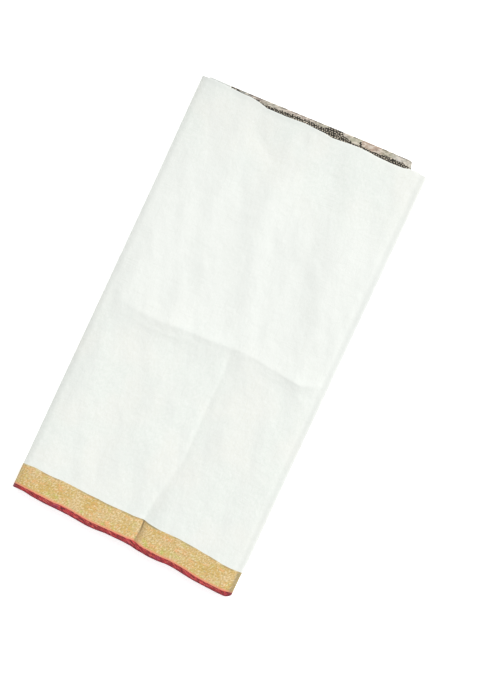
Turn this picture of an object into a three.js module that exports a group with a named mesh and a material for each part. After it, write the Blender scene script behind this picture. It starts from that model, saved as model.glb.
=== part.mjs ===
// A silk sari folded flat for keeping: 5.5 m of cloth, doubled across its width and then
// folded along its length into a packet of 18 double plies.
// Millimetres. The packet lies on z = 0 with +Z up, +X across the folded width and +Y from
// the red selvedge to the doubled edge. The origin is under the middle of the packet.
import * as THREE from 'three';

const { clamp, lerp, smoothstep } = THREE.MathUtils;

// Driving sizes of the packet
const HALF_WIDTH = 156;
const PACKET_HEIGHT = 17.6;
const WALL = 1.6;
const SEAM_GAP = 0.3;
const UPPER_NOSE = 3.2;
const TONGUE = 10;
const BOTTOM_EDGE_INSET = 2.5;
const BIG_NOSE = PACKET_HEIGHT / 2;
const UPPER_NOSE_HEIGHT = PACKET_HEIGHT - UPPER_NOSE;

// Outline of the top panel, from its left fold to its right fold: hem is the selvedge, red
// the line where the red edge meets the gold border, band the upper line of the gold border
// and top the doubled edge.
const OUTLINE = [
  { x: -156, hem: -285.2, red: -280.6, band: -252.9, top: 288.2 },
  { x: -150, hem: -285.1, red: -280.2, band: -252.6, top: 288.4 },
  { x: -139, hem: -285.1, red: -280.6, band: -251.6, top: 288.6 },
  { x: -130, hem: -286.5, red: -280.9, band: -252.3, top: 288.7 },
  { x: -120, hem: -287.4, red: -281.4, band: -253.0, top: 288.4 },
  { x: -110, hem: -288.1, red: -281.8, band: -252.9, top: 288.4 },
  { x: -100, hem: -288.2, red: -282.2, band: -252.3, top: 288.0 },
  { x: -88, hem: -288.4, red: -281.5, band: -252.8, top: 288.4 },
  { x: -76, hem: -288.9, red: -282.2, band: -253.4, top: 287.0 },
  { x: -63, hem: -290.0, red: -283.3, band: -254.2, top: 283.9 },
  { x: -50, hem: -291.3, red: -284.7, band: -254.2, top: 284.3 },
  { x: -38, hem: -291.2, red: -284.7, band: -255.1, top: 284.6 },
  { x: -25, hem: -290.1, red: -284.4, band: -255.0, top: 285.6 },
  { x: -10, hem: -290.2, red: -284.3, band: -254.7, top: 286.8 },
  { x: 0, hem: -290.3, red: -284.3, band: -254.9, top: 286.4 },
  { x: 13, hem: -291.2, red: -283.4, band: -253.6, top: 286.0 },
  { x: 16, hem: -291.8, red: -284.0, band: -254.2, top: 285.9 },
  { x: 21, hem: -292.7, red: -285.5, band: -255.6, top: 285.4 },
  { x: 27, hem: -293.1, red: -286.6, band: -256.4, top: 284.4 },
  { x: 38, hem: -294.2, red: -287.2, band: -257.4, top: 285.4 },
  { x: 51, hem: -294.3, red: -287.9, band: -257.3, top: 286.9 },
  { x: 64, hem: -293.1, red: -287.3, band: -257.2, top: 287.8 },
  { x: 76, hem: -294.1, red: -288.1, band: -258.2, top: 287.6 },
  { x: 89, hem: -295.9, red: -289.5, band: -259.1, top: 286.7 },
  { x: 101, hem: -297.4, red: -291.7, band: -260.6, top: 286.5 },
  { x: 112, hem: -298.0, red: -292.6, band: -261.4, top: 286.6 },
  { x: 127, hem: -298.7, red: -293.4, band: -263.5, top: 287.8 },
  { x: 133, hem: -299.0, red: -293.5, band: -263.8, top: 290.0 },
  { x: 140, hem: -299.2, red: -293.5, band: -264.0, top: 290.6 },
  { x: 147, hem: -299.2, red: -292.6, band: -263.6, top: 290.0 },
  { x: 151.3, hem: -297.2, red: -291.8, band: -263.3, top: 289.7 },
  { x: 156, hem: -292.6, red: -290.6, band: -263.0, top: 289.3 },
];

// How far the left and right folds stand out past HALF_WIDTH along the packet (below 0 where
// they stay inside it)
const SIDES = [
  { y: -300, left: -0.9, right: -1.6 },
  { y: -262, left: -0.8, right: -1.4 },
  { y: -235, left: -0.8, right: 0.0 },
  { y: -150, left: -0.9, right: -0.2 },
  { y: 0, left: -1.4, right: 0.4 },
  { y: 150, left: -1.7, right: 1.2 },
  { y: 230, left: -1.2, right: 1.2 },
  { y: 300, left: -1.1, right: 1.2 },
];

// How far the packet sinks at its left and right folds, and over what width
const LEFT_SHOULDER = { drop: 2.4, width: 32 };
const RIGHT_SHOULDER = { drop: 1.2, width: 18 };

// Pressed creases of the top panel. Each is a line that rises (or sinks, below 0) to height
// at its points and falls away on both sides over reach.
const CREASES = [
  [
    { x: -156, y: -13, height: 0.7, reach: 24 },
    { x: -112, y: -20, height: 0.9, reach: 24 },
    { x: -72, y: -20.5, height: 1.1, reach: 24 },
    { x: -30, y: -17.5, height: 1.3, reach: 24 },
    { x: 6, y: -14.5, height: 1.4, reach: 24 },
    { x: 35, y: -11.5, height: 1.4, reach: 22 },
    { x: 58, y: -13.5, height: 1.3, reach: 20 },
    { x: 85, y: -17, height: 1.3, reach: 16 },
    { x: 122, y: -21, height: 1.3, reach: 12 },
    { x: 136, y: -15.5, height: 1.0, reach: 10 },
    { x: 156, y: -6, height: 0.6, reach: 10 },
  ],
  [
    { x: 25, y: -18, height: -0.6, reach: 6 },
    { x: 28, y: -45, height: -0.6, reach: 6 },
    { x: 26.8, y: -95, height: -0.5, reach: 5 },
    { x: 27.5, y: -135, height: -0.6, reach: 6 },
    { x: 28.8, y: -160, height: -0.8, reach: 8 },
    { x: 22.8, y: -200, height: -1.0, reach: 12 },
    { x: 20, y: -230, height: -1.1, reach: 13 },
    { x: 17, y: -254, height: -1.0, reach: 9 },
    { x: 14.8, y: -298, height: -0.7, reach: 5 },
  ],
];

// Soft swells of the top panel: rise at the middle, and how wide and long each one spreads
const SWELLS = [
  { x: -108, y: 165, rise: 1.5, wide: 27, long: 95 },
  { x: -8, y: 165, rise: 1.6, wide: 25, long: 85 },
  { x: 99, y: 140, rise: 1.3, wide: 27, long: 95 },
  { x: -62, y: -98, rise: 0.8, wide: 30, long: 60 },
  { x: -112, y: -170, rise: 0.7, wide: 26, long: 90 },
  { x: 92, y: -120, rise: 0.8, wide: 30, long: 80 },
];
// The panel stands this much over its folds before its creases and swells are added, and the
// wall takes up the relief below INNER_RELIEF in its thickness.
const PANEL_LIFT = 0.5;
const LOWEST_RELIEF = -0.4;
const HIGHEST_RELIEF = 2.2;
const INNER_RELIEF = 1.0;
const RELIEF_FADE = 16;

// Folds that stand out at the doubled edge. foot is the height of each one's lower face;
// outLeft and outRight are the y that it reaches at its two ends, and splay is how much
// further out its right end lies at its root. The ivory folds lie right under the top
// panel, and the end piece lies half way down, between the two halves of the packet.
const EDGE_FOLDS = [
  {
    name: 'field_second_fold', left: -146.4, right: -116, outLeft: 290.4, outRight: 291.0,
    foot: 13.3, thickness: 2.4, splay: 0, colour: 0xeceee6,
  },
  {
    name: 'field_corner_fold', left: 127, right: 149, outLeft: 288.6, outRight: 291.0,
    foot: 13.3, thickness: 2.4, splay: 0, colour: 0xeceee6,
  },
  {
    name: 'pallu_check_fold', left: -116, right: 63.8, outLeft: 291.2, outRight: 298.4,
    foot: 9.1, thickness: 1.5, splay: 0, colour: 0x6e6656,
  },
  {
    name: 'pallu_plain_fold', left: 64.1, right: 132.3, outLeft: 298.4, outRight: 300.3,
    foot: 9.1, thickness: 1.5, splay: 10, colour: 0xc0a48e,
  },
];
const EDGE_FOLD_ROOT = 271;
const EDGE_FOLD_STEP = 14;
const EDGE_FOLD_ROWS = 2;
// Levels of an edge fold as shares of its thickness, finer where its nose rounds
const EDGE_FOLD_LEVELS = [0, 0.15, 0.5, 0.85, 1];

// Hidden layers: groups of plies from the bottom up, with how far each stands back from
// the hem, from the doubled edge and from the right fold. The fourth group leaves room for
// the end piece, the fifth for the end of the wrapped ply and the sixth for the ivory
// folds at the doubled edge.
const CORE_GAP = 0.8;
const GROOVE = 1.5;
const TONGUE_ROOM = UPPER_NOSE + TONGUE + CORE_GAP;
const TONGUE_FOOT = UPPER_NOSE_HEIGHT - UPPER_NOSE - SEAM_GAP;
const TONGUE_HEAD = UPPER_NOSE_HEIGHT - UPPER_NOSE + WALL + SEAM_GAP;
const EDGE_FOLD_ROOM = 20.5;
const PLY_GROUPS = [
  { from: WALL + SEAM_GAP, hem: 1.8, top: 2.8, right: 3.4 },
  { from: 4.2, hem: 3.2, top: 1.6, right: 1.8 },
  { from: 6.5, hem: 1.4, top: 3.6, right: 1.2 },
  { from: 8.8, hem: 3.8, top: EDGE_FOLD_ROOM, right: 2.2 },
  { from: TONGUE_FOOT, hem: 2.2, top: 3.2, right: TONGUE_ROOM },
  { from: TONGUE_HEAD, hem: 2.8, top: EDGE_FOLD_ROOM, right: 3.0 },
];
const CORE_TOP = PACKET_HEIGHT - WALL - SEAM_GAP;
// Heights of a group's two edges, as shares of its thickness
const GROUP_EDGES = [0.3, 0.7];

// Steps of the surfaces
const TOP_COLUMNS = 34;
const BOTTOM_COLUMNS = 3;
const BIG_NOSE_STEPS = 8;
const UPPER_NOSE_STEPS = 6;
const FIELD_STEPS_BELOW = 11;
const FIELD_STEPS_ABOVE = 12;
const BORDER_STEPS = 3;
const SELVEDGE_STEPS = 1;
const CORE_COLUMNS = 16;
const CORE_ROWS = 10;
// Where the cross crease lies between the band and the doubled edge, and how much closer
// the stations stand there
const CREASE_SHARE = 0.444;
const CROWDING = 1.6;
// Rounding of the doubled edge
const RIM_LENGTH = 0.8;
const RIM_ROUNDING = 0.4;

// A column of a table at a place between its rows
function lookUp(rows, key, column, at) {
  const next = rows.findIndex((row) => row[key] >= at);
  if (next === 0) return rows[0][column];
  if (next < 0) return rows[rows.length - 1][column];
  const before = rows[next - 1];
  const after = rows[next];
  return lerp(before[column], after[column], (at - before[key]) / (after[key] - before[key]));
}

const outline = (column, x) => lookUp(OUTLINE, 'x', column, x);
const leftSide = (y) => -HALF_WIDTH - lookUp(SIDES, 'y', 'left', y);
const rightSide = (y) => HALF_WIDTH + lookUp(SIDES, 'y', 'right', y);
const hemLine = (x) => outline('hem', x);
const redLine = (x) => outline('red', x);
const bandLine = (x) => outline('band', x);
const topLine = (x) => outline('top', x);

// Height that a crease gives a place: that of its nearest stretch
function creaseHeight(crease, x, y) {
  let nearest = Infinity;
  let height = 0;
  for (let i = 1; i < crease.length; i += 1) {
    const before = crease[i - 1];
    const after = crease[i];
    const runX = after.x - before.x;
    const runY = after.y - before.y;
    const done = ((x - before.x) * runX + (y - before.y) * runY) / (runX ** 2 + runY ** 2);
    const along = clamp(done, 0, 1);
    const distance = Math.hypot(x - before.x - along * runX, y - before.y - along * runY);
    if (distance < nearest) {
      nearest = distance;
      const reach = lerp(before.reach, after.reach, along);
      height = lerp(before.height, after.height, along) * Math.exp(-distance / reach);
    }
  }
  return height;
}

const bell = (offset, reach) => Math.exp(-((offset / reach) ** 2));

// Height that the creases and swells give the top panel, fading out at both folds
function relief(x, y) {
  let height = PANEL_LIFT;
  for (const swell of SWELLS) {
    height += swell.rise * bell(x - swell.x, swell.wide) * bell(y - swell.y, swell.long);
  }
  for (const crease of CREASES) height += creaseHeight(crease, x, y);
  const toLeft = x - leftSide(y) - BIG_NOSE;
  const toRight = rightSide(y) - UPPER_NOSE - x;
  const fade = smoothstep(Math.min(toLeft, toRight), 0, RELIEF_FADE);
  return fade * clamp(height, LOWEST_RELIEF, HIGHEST_RELIEF);
}

const sinkAt = (shoulder, inward) => shoulder.drop * clamp(1 - inward / shoulder.width, 0, 1) ** 2;

// A point of the packet, let down where the packet sinks towards its two folds
function settled(x, y, z) {
  const sink = sinkAt(LEFT_SHOULDER, x - leftSide(y)) + sinkAt(RIGHT_SHOULDER, rightSide(y) - x);
  return new THREE.Vector3(x, y, z * (1 - sink / PACKET_HEIGHT));
}

// One face of the wrapped ply across the packet, depth below its outer face: from the end
// that lies inside, round the upper right nose, over the top panel, round the big left
// nose and back along the bottom panel. line gives y for each x.
function wrapPath(line, depth) {
  const left = leftSide(line(-HALF_WIDTH));
  const right = rightSide(line(HALF_WIDTH));
  const raised = depth < WALL / 2;
  const path = [];
  const put = (x, z) => path.push(settled(x, line(x), z));
  const arc = (x, z, radius, from, steps) => {
    for (let i = 0; i <= steps; i += 1) {
      const angle = from + (Math.PI * i) / steps;
      put(x + radius * Math.cos(angle), z + radius * Math.sin(angle));
    }
  };
  put(right - UPPER_NOSE - TONGUE, UPPER_NOSE_HEIGHT - UPPER_NOSE + depth);
  arc(right - UPPER_NOSE, UPPER_NOSE_HEIGHT, UPPER_NOSE - depth, -Math.PI / 2, UPPER_NOSE_STEPS);
  for (let i = 1; i < TOP_COLUMNS; i += 1) {
    const x = lerp(right - UPPER_NOSE, left + BIG_NOSE, i / TOP_COLUMNS);
    const rise = relief(x, line(x));
    put(x, PACKET_HEIGHT - depth + (raised ? rise : Math.max(0, rise - INNER_RELIEF)));
  }
  arc(left + BIG_NOSE, BIG_NOSE, BIG_NOSE - depth, Math.PI / 2, BIG_NOSE_STEPS);
  for (let i = 1; i <= BOTTOM_COLUMNS; i += 1) {
    put(lerp(left + BIG_NOSE, right - BOTTOM_EDGE_INSET, i / BOTTOM_COLUMNS), depth);
  }
  return path;
}

// Closed ring of the wrapped ply: its outer face, and back along its inner face
function wrapRing(line, rounding = 0) {
  return [...wrapPath(line, rounding), ...wrapPath(line, WALL - rounding).reverse()];
}

// Triangles that close a ring between its two faces, facing -Y
function ringCap(count) {
  const triangles = [];
  for (let i = 0; i + 1 < count / 2; i += 1) {
    const across = count - 1 - i;
    triangles.push([i, i + 1, across - 1], [i, across - 1, across]);
  }
  return triangles;
}

function indexedGeometry(points, faces) {
  const geometry = new THREE.BufferGeometry();
  geometry.setFromPoints(points);
  geometry.setIndex(faces);
  geometry.computeVertexNormals();
  return geometry;
}

// Closed wall through rings that follow each other along +Y
function wallThroughRings(rings) {
  const count = rings[0].length;
  const faces = [];
  for (let j = 0; j + 1 < rings.length; j += 1) {
    for (let i = 0; i < count; i += 1) {
      const here = j * count + i;
      const beside = j * count + ((i + 1) % count);
      faces.push(here, here + count, beside + count);
      faces.push(here, beside + count, beside);
    }
  }
  const last = (rings.length - 1) * count;
  for (const [a, b, c] of ringCap(count)) faces.push(a, b, c, last + a, last + c, last + b);
  return indexedGeometry(rings.flat(), faces);
}

// Line across the packet between two lines, moved along by shift
const between = (from, to, share, shift = 0) => (x) => lerp(from(x), to(x), share) + shift;

// Length of the wrapped ply between two lines, with half a seam gap at each end
function wrapBand(from, to, steps) {
  const rings = [];
  for (let j = 0; j <= steps; j += 1) {
    const shift = lerp(SEAM_GAP / 2, -SEAM_GAP / 2, j / steps);
    rings.push(wrapRing(between(from, to, j / steps, shift)));
  }
  return wallThroughRings(rings);
}

// Shares of the field's length where its stations stand, closest at the cross crease
function fieldShares() {
  const below = Array.from({ length: FIELD_STEPS_BELOW }, (_, i) => {
    return CREASE_SHARE * (1 - (1 - i / FIELD_STEPS_BELOW) ** CROWDING);
  });
  const above = Array.from({ length: FIELD_STEPS_ABOVE + 1 }, (_, i) => {
    return CREASE_SHARE + (1 - CREASE_SHARE) * (i / FIELD_STEPS_ABOVE) ** CROWDING;
  });
  return [...below, ...above];
}

function fieldWrap() {
  const rings = fieldShares().map((share) => {
    const shift = lerp(SEAM_GAP / 2, -RIM_LENGTH, share);
    return wrapRing(between(bandLine, topLine, share, shift));
  });
  rings.push(wrapRing(topLine, RIM_ROUNDING));
  return wallThroughRings(rings);
}

const borderWrap = () => wrapBand(redLine, bandLine, BORDER_STEPS);

const selvedgeWrap = () => wrapBand((x) => hemLine(x) - SEAM_GAP / 2, redLine, SELVEDGE_STEPS);

// Closed block whose surface grid is placed by a function of its column, row and level
function blockGeometry(columns, rows, levels, place) {
  const numbers = new Map();
  const points = [];
  const faces = [];
  const at = (i, j, k) => {
    const key = `${i},${j},${k}`;
    if (!numbers.has(key)) {
      numbers.set(key, points.length);
      points.push(place(i, j, k));
    }
    return numbers.get(key);
  };
  const quad = (a, b, c, d) => faces.push(a, b, c, a, c, d);
  for (let i = 0; i < columns; i += 1) {
    for (let j = 0; j < rows; j += 1) {
      quad(at(i, j, 0), at(i, j + 1, 0), at(i + 1, j + 1, 0), at(i + 1, j, 0));
      quad(at(i, j, levels), at(i + 1, j, levels), at(i + 1, j + 1, levels), at(i, j + 1, levels));
    }
    for (let k = 0; k < levels; k += 1) {
      quad(at(i, 0, k), at(i + 1, 0, k), at(i + 1, 0, k + 1), at(i, 0, k + 1));
      quad(at(i, rows, k), at(i, rows, k + 1), at(i + 1, rows, k + 1), at(i + 1, rows, k));
    }
  }
  for (let j = 0; j < rows; j += 1) {
    for (let k = 0; k < levels; k += 1) {
      quad(at(0, j, k), at(0, j, k + 1), at(0, j + 1, k + 1), at(0, j + 1, k));
      quad(at(columns, j, k), at(columns, j + 1, k), at(columns, j + 1, k + 1), at(columns, j, k + 1));
    }
  }
  return indexedGeometry(points, faces);
}

// A double ply that stands out at the doubled edge, with a rounded nose
function edgeFold(fold) {
  const columns = Math.max(2, Math.round((fold.right - fold.left) / EDGE_FOLD_STEP));
  const nose = fold.thickness / 2;
  return blockGeometry(columns, EDGE_FOLD_ROWS, EDGE_FOLD_LEVELS.length - 1, (i, j, k) => {
    const level = EDGE_FOLD_LEVELS[k];
    const across = i / columns;
    const along = j / EDGE_FOLD_ROWS;
    const roundedBack = nose * (1 - Math.sqrt(1 - (2 * level - 1) ** 2));
    const reach = lerp(fold.outLeft, fold.outRight, across) - roundedBack;
    const splay = fold.splay * across * (1 - along);
    return settled(
      lerp(fold.left, fold.right, across) + splay,
      lerp(EDGE_FOLD_ROOT, reach, along),
      fold.foot + fold.thickness * level,
    );
  });
}

// Levels of the hidden layers: a groove between two groups, and two edges for each group
function coreLevels() {
  const levels = [];
  PLY_GROUPS.forEach((group, i) => {
    const below = PLY_GROUPS[Math.max(i - 1, 0)];
    const to = i + 1 < PLY_GROUPS.length ? PLY_GROUPS[i + 1].from : CORE_TOP;
    const groove = {
      z: group.from,
      hem: Math.max(group.hem, below.hem) + GROOVE,
      top: Math.max(group.top, below.top) + GROOVE,
      right: Math.max(group.right, below.right) + GROOVE,
    };
    levels.push(groove);
    for (const share of GROUP_EDGES) levels.push({ ...group, z: lerp(group.from, to, share) });
  });
  const uppermost = PLY_GROUPS[PLY_GROUPS.length - 1];
  levels.push({ ...uppermost, z: CORE_TOP, hem: uppermost.hem + GROOVE, right: uppermost.right + GROOVE });
  return levels;
}

// All that the folds hide, as one solid: round inside the big left nose, layered at the
// hem, at the doubled edge and at the right
function hiddenLayers() {
  const levels = coreLevels();
  const inside = BIG_NOSE - WALL - CORE_GAP;
  return blockGeometry(CORE_COLUMNS, CORE_ROWS, levels.length - 1, (i, j, k) => {
    const level = levels[k];
    const across = i / CORE_COLUMNS;
    const along = j / CORE_ROWS;
    const fromMiddle = clamp((level.z - BIG_NOSE) / inside, -1, 1);
    const leftInset = BIG_NOSE - inside * Math.sqrt(1 - fromMiddle ** 2);
    const flatX = lerp(-HALF_WIDTH, HALF_WIDTH, across);
    const y = lerp(hemLine(flatX) + level.hem, topLine(flatX) - level.top, along);
    const x = lerp(leftSide(y) + leftInset, rightSide(y) - level.right, across);
    return settled(x, y, level.z);
  });
}

function clothMesh(name, geometry, color, roughness, metalness = 0) {
  const mesh = new THREE.Mesh(geometry, new THREE.MeshStandardMaterial({ color, roughness, metalness }));
  mesh.name = name;
  return mesh;
}

const sari = new THREE.Group();
sari.add(clothMesh('field_wrap', fieldWrap(), 0xeceee6, 0.55));
sari.add(clothMesh('border_wrap', borderWrap(), 0xdcb973, 0.45, 0.3));
sari.add(clothMesh('selvedge_wrap', selvedgeWrap(), 0xaf2837, 0.6));
for (const fold of EDGE_FOLDS) sari.add(clothMesh(fold.name, edgeFold(fold), fold.colour, 0.65));
sari.add(clothMesh('hidden_layers', hiddenLayers(), 0xe4e3d8, 0.65));

export default sari;
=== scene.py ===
import math
from collections import namedtuple

import bpy
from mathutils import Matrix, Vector, noise


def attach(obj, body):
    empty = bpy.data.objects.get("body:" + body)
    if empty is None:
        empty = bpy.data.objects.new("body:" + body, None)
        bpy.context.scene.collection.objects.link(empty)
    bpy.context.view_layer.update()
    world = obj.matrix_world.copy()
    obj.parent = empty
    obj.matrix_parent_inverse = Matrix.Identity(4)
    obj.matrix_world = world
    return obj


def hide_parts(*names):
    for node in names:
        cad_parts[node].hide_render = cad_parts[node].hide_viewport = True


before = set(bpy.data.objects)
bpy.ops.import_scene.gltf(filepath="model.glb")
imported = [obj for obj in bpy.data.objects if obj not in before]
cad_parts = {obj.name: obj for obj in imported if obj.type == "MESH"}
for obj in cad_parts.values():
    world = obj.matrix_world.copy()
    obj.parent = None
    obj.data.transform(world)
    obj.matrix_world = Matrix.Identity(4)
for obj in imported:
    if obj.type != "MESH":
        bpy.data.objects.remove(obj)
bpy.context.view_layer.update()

bl_info = {
    "name": "Folded tussar silk sari",
    "version": (1, 0, 0),
    "blender": (4, 5, 0),
    "location": "View3D > Sidebar > Sari",
    "description": "Builds the plies of a silk sari folded flat into a packet",
    "category": "Object",
}

# Tables are in millimetres, and MM turns them into metres.
MM = 0.001

# The packet: 5.5 m of cloth, doubled across its width, folded into 18 double plies.
HALF_WIDTH = 156.0
PACKET_HEIGHT = 17.6
BIG_NOSE = 8.8
UPPER_NOSE = 3.2
TONGUE = 10.0
BOTTOM_EDGE_INSET = 2.5
PALLU_END_INSET = 20.0
DOUBLED_WIDTH = 580.0
RED_WEAVE = 6.0
GOLD_WEAVE = 35.9

# Middle heights of the plies: 1 to 6 lie above the end piece's half of the packet.
UPPER_PLIES = 6
PLIES = 18
UPPER_TOP, UPPER_FOOT = 17.17, 11.63
LOWER_TOP, LOWER_FOOT = 10.7, 0.43

Line = namedtuple("Line", "x hem red band top")
# hem is the selvedge, red the line between the red edge and the gold border, band the upper
# line of the gold and top the doubled edge.
OUTLINE = [
    Line(-156, -285.2, -280.6, -252.9, 288.2),
    Line(-150, -285.1, -280.2, -252.6, 288.4),
    Line(-139, -285.1, -280.6, -251.6, 288.6),
    Line(-130, -286.5, -280.9, -252.3, 288.7),
    Line(-120, -287.4, -281.4, -253.0, 288.4),
    Line(-110, -288.1, -281.8, -252.9, 288.4),
    Line(-100, -288.2, -282.2, -252.3, 288.0),
    Line(-88, -288.4, -281.5, -252.8, 288.4),
    Line(-76, -288.9, -282.2, -253.4, 287.0),
    Line(-63, -290.0, -283.3, -254.2, 283.9),
    Line(-50, -291.3, -284.7, -254.2, 284.3),
    Line(-38, -291.2, -284.7, -255.1, 284.6),
    Line(-25, -290.1, -284.4, -255.0, 285.6),
    Line(-10, -290.2, -284.3, -254.7, 286.8),
    Line(0, -290.3, -284.3, -254.9, 286.4),
    Line(13, -291.2, -283.4, -253.6, 286.0),
    Line(16, -291.8, -284.0, -254.2, 285.9),
    Line(21, -292.7, -285.5, -255.6, 285.4),
    Line(27, -293.1, -286.6, -256.4, 284.4),
    Line(38, -294.2, -287.2, -257.4, 285.4),
    Line(51, -294.3, -287.9, -257.3, 286.9),
    Line(64, -293.1, -287.3, -257.2, 287.8),
    Line(76, -294.1, -288.1, -258.2, 287.6),
    Line(89, -295.9, -289.5, -259.1, 286.7),
    Line(101, -297.4, -291.7, -260.6, 286.5),
    Line(112, -298.0, -292.6, -261.4, 286.6),
    Line(127, -298.7, -293.4, -263.5, 287.8),
    Line(133, -299.0, -293.5, -263.8, 290.0),
    Line(140, -299.2, -293.5, -264.0, 290.6),
    Line(147, -299.2, -292.6, -263.6, 290.0),
    Line(151.3, -297.2, -291.8, -263.3, 289.7),
    Line(156, -292.6, -290.6, -263.0, 289.3),
]

Side = namedtuple("Side", "y left right")
# How far the left and right folds stand out past HALF_WIDTH (below 0 where they stay inside it)
SIDES = [
    Side(-300, -0.9, -1.6),
    Side(-262, -0.8, -1.4),
    Side(-235, -0.8, 0.0),
    Side(-150, -0.9, -0.2),
    Side(0, -1.4, 0.4),
    Side(150, -1.7, 1.2),
    Side(230, -1.2, 1.2),
    Side(300, -1.1, 1.2),
]

Shoulder = namedtuple("Shoulder", "drop width")
# How far the packet sinks at its left and right folds, and over what width
LEFT_SHOULDER = Shoulder(2.4, 32.0)
RIGHT_SHOULDER = Shoulder(1.2, 18.0)

Bend = namedtuple("Bend", "x y height reach other", defaults=[None])
# Pressed creases of the top panel. Each is a line that rises (or sinks, below 0) to height
# at its points and falls away over reach on its left, and over other (or reach) on its right.
CREASES = [
    [
        Bend(-156, -13, 0.7, 24),
        Bend(-112, -20, 0.9, 24),
        Bend(-72, -20.5, 1.1, 24),
        Bend(-30, -17.5, 1.3, 24),
        Bend(6, -14.5, 1.4, 24),
        Bend(35, -11.5, 1.4, 22),
        Bend(58, -13.5, 1.3, 20),
        Bend(85, -17, 1.3, 16),
        Bend(122, -21, 1.3, 12),
        Bend(136, -15.5, 1.0, 10),
        Bend(156, -6, 0.6, 10),
    ],
    [
        Bend(25, -18, -0.6, 6),
        Bend(28, -45, -0.6, 6),
        Bend(26.8, -95, -0.5, 5),
        Bend(27.5, -135, -0.6, 6),
        Bend(28.8, -160, -0.8, 8),
        Bend(22.8, -200, -1.0, 12),
        Bend(20, -230, -1.1, 13),
        Bend(17, -254, -1.0, 9),
        Bend(14.8, -298, -0.7, 5),
    ],
]

Swell = namedtuple("Swell", "x y rise wide long")
# Soft swells of the top panel, the same as in the solid
SWELLS = [
    Swell(-108, 165, 1.5, 27, 95),
    Swell(-8, 165, 1.6, 25, 85),
    Swell(99, 140, 1.3, 27, 95),
    Swell(-62, -98, 0.8, 30, 60),
    Swell(-112, -170, 0.7, 26, 90),
    Swell(92, -120, 0.8, 30, 80),
]
# How round the top of a crease is, as a share of its reach
BLUNTNESS = 0.2
# The panel stands this much over its folds before its creases and swells are added.
PANEL_LIFT = 0.5
RELIEF_FADE = 16.0

# Sharper and shallower creases and dents that only the cloth shows
FINE_CREASES = [
    # the hard lower side of the cross crease
    [
        Bend(-140, -13, 0.1, 14, 5), Bend(-104, -16, 0.55, 14, 5), Bend(-72, -17, 0.9, 14, 4.5),
        Bend(-30, -13.5, 1.0, 13, 3.6), Bend(6, -12.5, 0.75, 12, 3), Bend(35, -9.5, 0.6, 12, 3),
        Bend(58, -10.5, 0.7, 12, 3), Bend(85, -13.5, 0.85, 12, 3), Bend(105, -16, 1.15, 12, 2.8),
        Bend(122, -17.5, 1.2, 10, 2.6), Bend(136, -12.5, 0.9, 9, 2.4), Bend(150, -5, 0.4, 8, 2.4),
    ],
    # its softer fall below, and its second line at the left
    [
        Bend(-140, -16, 0.1, 30, 12), Bend(-100, -18, 0.6, 34, 14), Bend(-40, -16, 0.9, 40, 16),
        Bend(10, -13, 0.8, 40, 16), Bend(60, -12, 0.2, 36, 14), Bend(120, -18, 0.0, 24, 12),
        Bend(150, -8, 0.0, 16, 10),
    ],
    [
        Bend(-122, -27, 0.05, 4, 2.4), Bend(-84, -31, 0.35, 4, 2.4), Bend(-46, -28, 0.35, 4, 2.4),
        Bend(-26, -23, 0.05, 4, 2.4),
    ],
    # the hard line of the lengthwise crease
    [
        Bend(25, -14, -0.3, 7, 4), Bend(28, -45, -0.6, 8, 3.2), Bend(26.8, -95, -0.55, 8, 3.2),
        Bend(27.5, -135, -0.6, 8, 3.2), Bend(28, -160, -0.75, 8, 4), Bend(21, -200, -1.0, 9, 4),
        Bend(16, -230, -1.1, 12, 4), Bend(14, -250, -1.1, 12, 3), Bend(14, -260, -0.9, 4, 2.4),
        Bend(14, -284, -0.8, 3, 2.2), Bend(14, -298, -0.6, 3, 2.2),
    ],
    # the slope that rises from it towards the border
    [
        Bend(38, -186, 0.0, 24, 10), Bend(38, -222, 0.8, 30, 13), Bend(42, -250, 1.2, 30, 14),
        Bend(42, -270, 0.2, 24, 12),
    ],
    # long soft crests of the upper half, steeper on their left
    [
        Bend(-18, 292, 0.2, 22, 12), Bend(-17, 245, 1.0, 28, 17), Bend(-12, 190, 1.3, 30, 16),
        Bend(-4, 120, 1.1, 32, 16), Bend(10, 60, 0.9, 32, 14), Bend(28, 6, 0.4, 26, 12),
    ],
    [
        Bend(66, 292, 0.4, 22, 12), Bend(74, 245, 1.5, 28, 18), Bend(86, 190, 1.3, 30, 20),
        Bend(98, 130, 1.2, 30, 18), Bend(104, 80, 1.0, 28, 14), Bend(114, 36, 0.3, 22, 12),
    ],
    [
        Bend(-92, 288, 0.4, 18, 10), Bend(-86, 250, 1.0, 24, 14), Bend(-76, 205, 1.1, 28, 14),
        Bend(-72, 140, 0.5, 28, 14),
    ],
    [Bend(-76, 264, -0.1, 8, 14), Bend(-50, 242, -1.2, 10, 18), Bend(-22, 220, -0.2, 10, 14)],
    [Bend(40, 266, 0.0, 12, 8), Bend(50, 240, -1.1, 12, 9), Bend(62, 212, 0.0, 10, 8)],
    # shorter ones below the cross crease
    [
        Bend(-44, -62, 0.1, 16, 8), Bend(-42, -100, 0.7, 18, 9), Bend(-46, -150, 0.7, 20, 9),
        Bend(-40, -186, 0.1, 18, 8),
    ],
    [Bend(2, -150, 0.1, 10, 10), Bend(-2, -196, 0.6, 10, 12), Bend(2, -240, 0.2, 8, 10)],
    [Bend(100, -36, 0.1, 18, 8), Bend(104, -80, 0.7, 20, 9), Bend(112, -128, 0.2, 18, 9)],
    [Bend(-150, -40, 0.0, 6, 5), Bend(-132, -66, 0.45, 7, 5), Bend(-118, -96, 0.0, 6, 5)],
    [Bend(72, -170, 0.0, 14, 7), Bend(84, -206, 0.6, 14, 7), Bend(80, -240, 0.1, 12, 7)],
    # a small pull from the right end of the cross crease
    [Bend(118, -22, 0.4, 6, 5), Bend(128, -34, 0.4, 6, 5), Bend(150, -44, 0.0, 6, 5)],
]
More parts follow.
